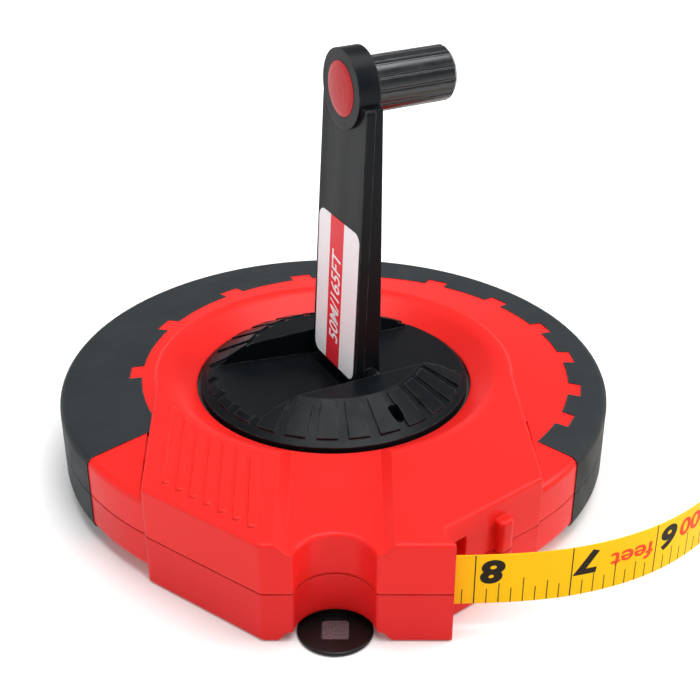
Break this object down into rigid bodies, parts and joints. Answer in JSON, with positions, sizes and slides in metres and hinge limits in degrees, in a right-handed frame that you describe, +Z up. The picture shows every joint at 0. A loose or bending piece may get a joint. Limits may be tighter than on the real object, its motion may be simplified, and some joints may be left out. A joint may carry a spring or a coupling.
{
  "type": "surveyor tape reel",
  "caption": "Closed-case long measuring tape: round two-tone case with rubber rim grip, folding crank with knob, printed tape curving out of the mouth to a ring and claw.",
  "frame": {"origin": "the reel's axis at the plane the case lies on", "axes": "+Z up along the reel's axis, out of the crank side; -Y towards the front, where the knob notch is; +X towards the side the tape leaves"},
  "size_m": [0.2286, 0.191, 0.1269],
  "materials": {
    "case_red": "satin moulded plastic",
    "case_red_lower": "satin moulded plastic",
    "grip_rubber": "matt, finely textured",
    "screw_steel": "dark zinc",
    "bright_steel": "turned",
    "rest_black": "satin",
    "inner_plastic": "moulded",
    "washer_fibre": "pressed fibre",
    "tape_yellow": "coated and printed",
    "coil_yellow": "wound tape edges",
    "crank_black": "fine spark texture",
    "arm_black": "fine spark texture",
    "bush_plastic": "plain",
    "label_print": "printed film",
    "cap_red": "satin",
    "knob_black": "fluted",
    "plated_steel": "nickel plated",
    "rivet_brass": "set heads",
    "ring_steel": "nickel plated"
  },
  "bodies": {
    "case": {"upper_shell": "case_red", "lower_shell": "case_red_lower", "rim_grip_upper": "grip_rubber", "rim_grip_lower": "grip_rubber", "case_screws": "screw_steel", "mouth_guide_post": "bright_steel", "knob_rest": "rest_black", "knob_rest_screw": "screw_steel", "hub_spindle": "inner_plastic", "drag_washer": "washer_fibre", "spindle_washer": "bright_steel", "spindle_screw": "screw_steel", "tape_lead": "tape_yellow", "tape_blade": "tape_yellow", "end_clip": "plated_steel", "end_clip_rivets": "rivet_brass", "end_pin": "bright_steel"},
    "reel": {"drum_core": "inner_plastic", "drum_flange": "inner_plastic", "tape_coil": "coil_yellow", "crank_plate": "crank_black", "crank_plate_screws": "screw_steel", "hinge_pin": "bright_steel", "hinge_bushes": "bush_plastic", "hinge_friction_washers": "washer_fibre"},
    "crank": {"crank_arm": "arm_black", "arm_label": "label_print", "knob_cap": "cap_red", "knob_stud": "bright_steel", "knob_washer": "bright_steel", "knob_screw": "screw_steel"},
    "knob": {"crank_knob": "knob_black"},
    "ring": {"end_ring": "ring_steel"},
    "claw": {"end_claw": "plated_steel"}
  },
  "joints": [
    {"name": "crank_spin", "type": "hinge", "parent": "case", "child": "reel", "pos_m": [0, 0, 0.016], "axis": [0, 0, 1], "continuous": true},
    {"name": "arm_fold", "type": "hinge", "parent": "reel", "child": "crank", "pos_m": [0.00499, 0.00254, 0.032], "axis": [-0.454, 0.891, 0], "range_deg": [-87, 85.5]},
    {"name": "knob_spin", "type": "hinge", "parent": "crank", "child": "knob", "pos_m": [0, 0, 0.1159], "axis": [0.891, 0.454, 0], "continuous": true},
    {"name": "ring_swing", "type": "hinge", "parent": "case", "child": "ring", "pos_m": [0.143, 0.0695, 0.0155], "axis": [0, 0, 1], "range_deg": [-90, 90]},
    {"name": "claw_fold", "type": "hinge", "parent": "case", "child": "claw", "pos_m": [0.143, 0.0695, 0.0155], "axis": [0, 0, 1], "range_deg": [0, 120]}
  ]
}
